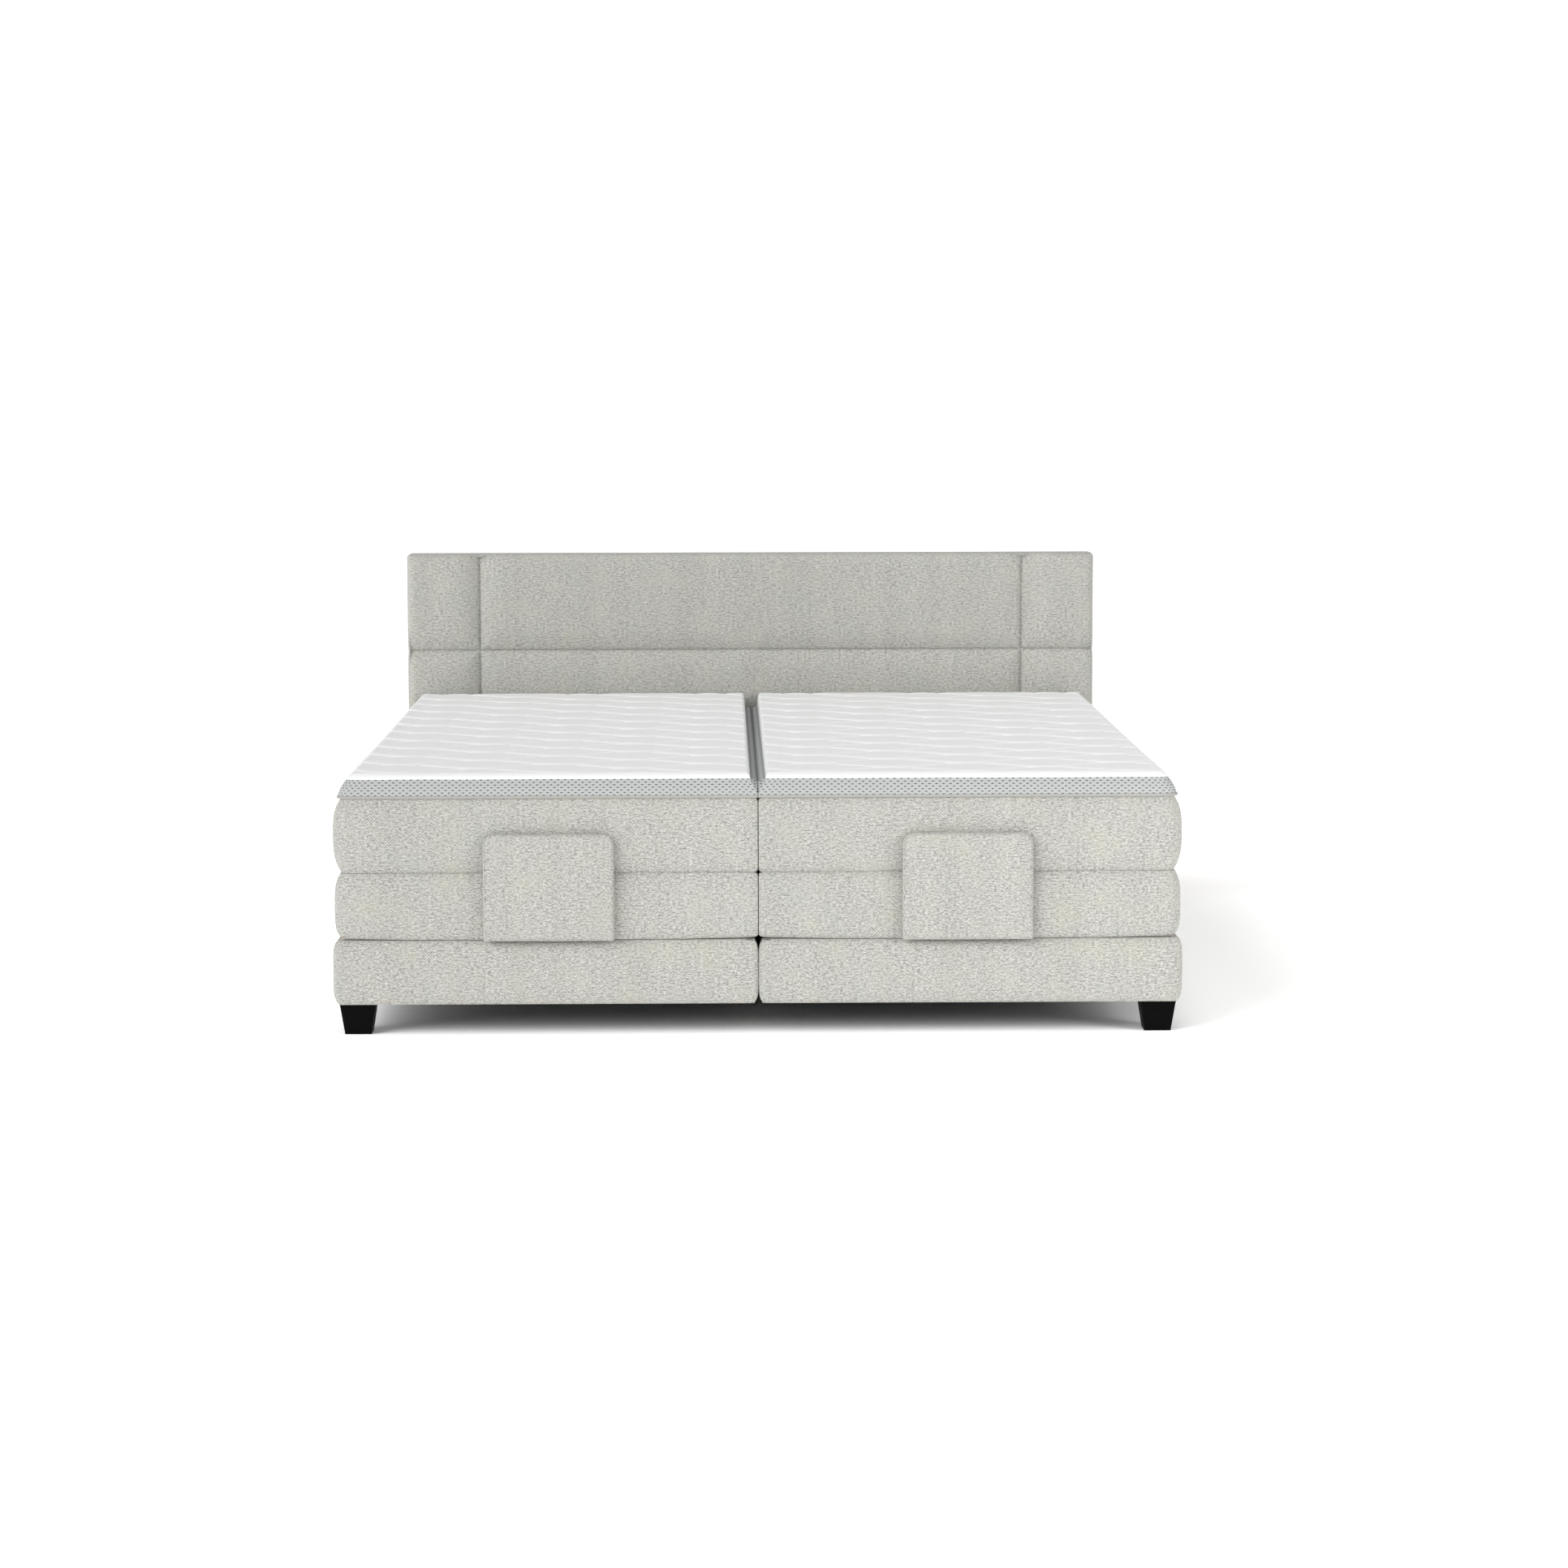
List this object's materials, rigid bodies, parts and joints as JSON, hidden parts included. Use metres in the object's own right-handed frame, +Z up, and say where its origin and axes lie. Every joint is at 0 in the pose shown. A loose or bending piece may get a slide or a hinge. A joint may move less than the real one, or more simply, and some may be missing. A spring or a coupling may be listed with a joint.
{
  "type": "adjustable bed base",
  "caption": "Electric box-spring double bed with padded headboard; each side's back, thigh and calf sections lift on a twin drive with hinged steel frames.",
  "frame": {"origin": "on the floor, under the middle of the bed's bounding box", "axes": "+X to the right as seen from the foot end, +Y towards the headboard, +Z up"},
  "size_m": [1.8, 2.115, 0.941],
  "materials": {
    "upholstery": "matte",
    "topper_cover": "matte",
    "frame_timber": "matte",
    "headboard_panel": "matte",
    "dust_cloth": "matte",
    "leg_lacquer": "satin",
    "support_leg_plastic": "matte",
    "zinc_steel": "satin",
    "grey_steel": "satin",
    "black_plastic": "matte",
    "nylon": "satin"
  },
  "bodies": {
    "base": {"left_base_frame": "frame_timber", "left_base_cover": "upholstery", "left_seat_mattress": "upholstery", "left_seat_topper": "topper_cover", "right_base_frame": "frame_timber", "right_base_cover": "upholstery", "right_seat_mattress": "upholstery", "right_seat_topper": "topper_cover", "dust_covers": "dust_cloth", "corner_legs": "leg_lacquer", "centre_legs": "support_leg_plastic", "leg_bolts": "zinc_steel", "base_link_plates": "zinc_steel", "seat_frames": "grey_steel", "seat_boards": "upholstery", "seat_hinge_pins": "zinc_steel", "motor_housings": "black_plastic", "drive_motors": "zinc_steel", "drive_spindles": "zinc_steel", "shaft_bearings": "nylon", "control_boxes": "black_plastic", "headboard_cover": "upholstery", "headboard_core": "headboard_panel", "headboard_bolts": "zinc_steel"},
    "left_back": {"left_back_frame": "grey_steel", "left_back_board": "upholstery", "left_back_mattress": "upholstery", "left_back_topper": "topper_cover"},
    "left_thigh": {"left_thigh_frame": "grey_steel", "left_thigh_board": "upholstery", "left_thigh_mattress": "upholstery", "left_thigh_topper": "topper_cover", "left_knee_pins": "zinc_steel"},
    "left_calf": {"left_calf_frame": "grey_steel", "left_calf_board": "upholstery", "left_calf_mattress": "upholstery", "left_calf_topper": "topper_cover", "left_foot_plate": "upholstery"},
    "left_back_lift_shaft": {"left_back_lift_shaft": "grey_steel"},
    "left_leg_lift_shaft": {"left_leg_lift_shaft": "grey_steel"},
    "left_back_push_block": {"left_back_push_block": "nylon"},
    "left_leg_push_block": {"left_leg_push_block": "nylon"},
    "right_back": {"right_back_frame": "grey_steel", "right_back_board": "upholstery", "right_back_mattress": "upholstery", "right_back_topper": "topper_cover"},
    "right_thigh": {"right_thigh_frame": "grey_steel", "right_thigh_board": "upholstery", "right_thigh_mattress": "upholstery", "right_thigh_topper": "topper_cover", "right_knee_pins": "zinc_steel"},
    "right_calf": {"right_calf_frame": "grey_steel", "right_calf_board": "upholstery", "right_calf_mattress": "upholstery", "right_calf_topper": "topper_cover", "right_foot_plate": "upholstery"},
    "right_back_lift_shaft": {"right_back_lift_shaft": "grey_steel"},
    "right_leg_lift_shaft": {"right_leg_lift_shaft": "grey_steel"},
    "right_back_push_block": {"right_back_push_block": "nylon"},
    "right_leg_push_block": {"right_leg_push_block": "nylon"}
  },
  "joints": [
    {"name": "left_back_tilt", "type": "hinge", "parent": "base", "child": "left_back", "pos_m": [-0.452, 0.2175, 0.322], "axis": [1, 0, 0], "range_deg": [0, 60]},
    {"name": "left_thigh_tilt", "type": "hinge", "parent": "base", "child": "left_thigh", "pos_m": [-0.452, -0.0525, 0.322], "axis": [-1, 0, 0], "range_deg": [0, 28]},
    {"name": "left_knee_fold", "type": "hinge", "parent": "left_thigh", "child": "left_calf", "pos_m": [-0.452, -0.3925, 0.322], "axis": [1, 0, 0], "range_deg": [0, 38]},
    {"name": "left_back_shaft_turn", "type": "hinge", "parent": "base", "child": "left_back_lift_shaft", "pos_m": [-0.452, 0.3975, 0.17], "axis": [1, 0, 0], "range_deg": [0, 72]},
    {"name": "left_leg_shaft_turn", "type": "hinge", "parent": "base", "child": "left_leg_lift_shaft", "pos_m": [-0.452, -0.1825, 0.17], "axis": [-1, 0, 0], "range_deg": [0, 56]},
    {"name": "left_back_push", "type": "slide", "parent": "base", "child": "left_back_push_block", "axis": [0, 1, 0], "range_m": [0, 0.07289]},
    {"name": "left_leg_push", "type": "slide", "parent": "base", "child": "left_leg_push_block", "axis": [0, -1, 0], "range_m": [0, 0.05821]},
    {"name": "right_back_tilt", "type": "hinge", "parent": "base", "child": "right_back", "pos_m": [0.452, 0.2175, 0.322], "axis": [1, 0, 0], "range_deg": [0, 60]},
    {"name": "right_thigh_tilt", "type": "hinge", "parent": "base", "child": "right_thigh", "pos_m": [0.452, -0.0525, 0.322], "axis": [-1, 0, 0], "range_deg": [0, 28]},
    {"name": "right_knee_fold", "type": "hinge", "parent": "right_thigh", "child": "right_calf", "pos_m": [0.452, -0.3925, 0.322], "axis": [1, 0, 0], "range_deg": [0, 38]},
    {"name": "right_back_shaft_turn", "type": "hinge", "parent": "base", "child": "right_back_lift_shaft", "pos_m": [0.452, 0.3975, 0.17], "axis": [1, 0, 0], "range_deg": [0, 72]},
    {"name": "right_leg_shaft_turn", "type": "hinge", "parent": "base", "child": "right_leg_lift_shaft", "pos_m": [0.452, -0.1825, 0.17], "axis": [-1, 0, 0], "range_deg": [0, 56]},
    {"name": "right_back_push", "type": "slide", "parent": "base", "child": "right_back_push_block", "axis": [0, 1, 0], "range_m": [0, 0.07289]},
    {"name": "right_leg_push", "type": "slide", "parent": "base", "child": "right_leg_push_block", "axis": [0, -1, 0], "range_m": [0, 0.05821]}
  ],
  "couplings": [
    {"joint": "left_back_shaft_turn", "follows": "left_back_tilt", "ratio": 1.2},
    {"joint": "left_back_push", "follows": "left_back_tilt", "m_per_rad": 0.0696},
    {"joint": "left_knee_fold", "follows": "left_thigh_tilt", "ratio": 1.3571},
    {"joint": "left_leg_shaft_turn", "follows": "left_thigh_tilt", "ratio": 2},
    {"joint": "left_leg_push", "follows": "left_thigh_tilt", "m_per_rad": 0.11912},
    {"joint": "right_back_shaft_turn", "follows": "right_back_tilt", "ratio": 1.2},
    {"joint": "right_back_push", "follows": "right_back_tilt", "m_per_rad": 0.0696},
    {"joint": "right_knee_fold", "follows": "right_thigh_tilt", "ratio": 1.3571},
    {"joint": "right_leg_shaft_turn", "follows": "right_thigh_tilt", "ratio": 2},
    {"joint": "right_leg_push", "follows": "right_thigh_tilt", "m_per_rad": 0.11912}
  ]
}
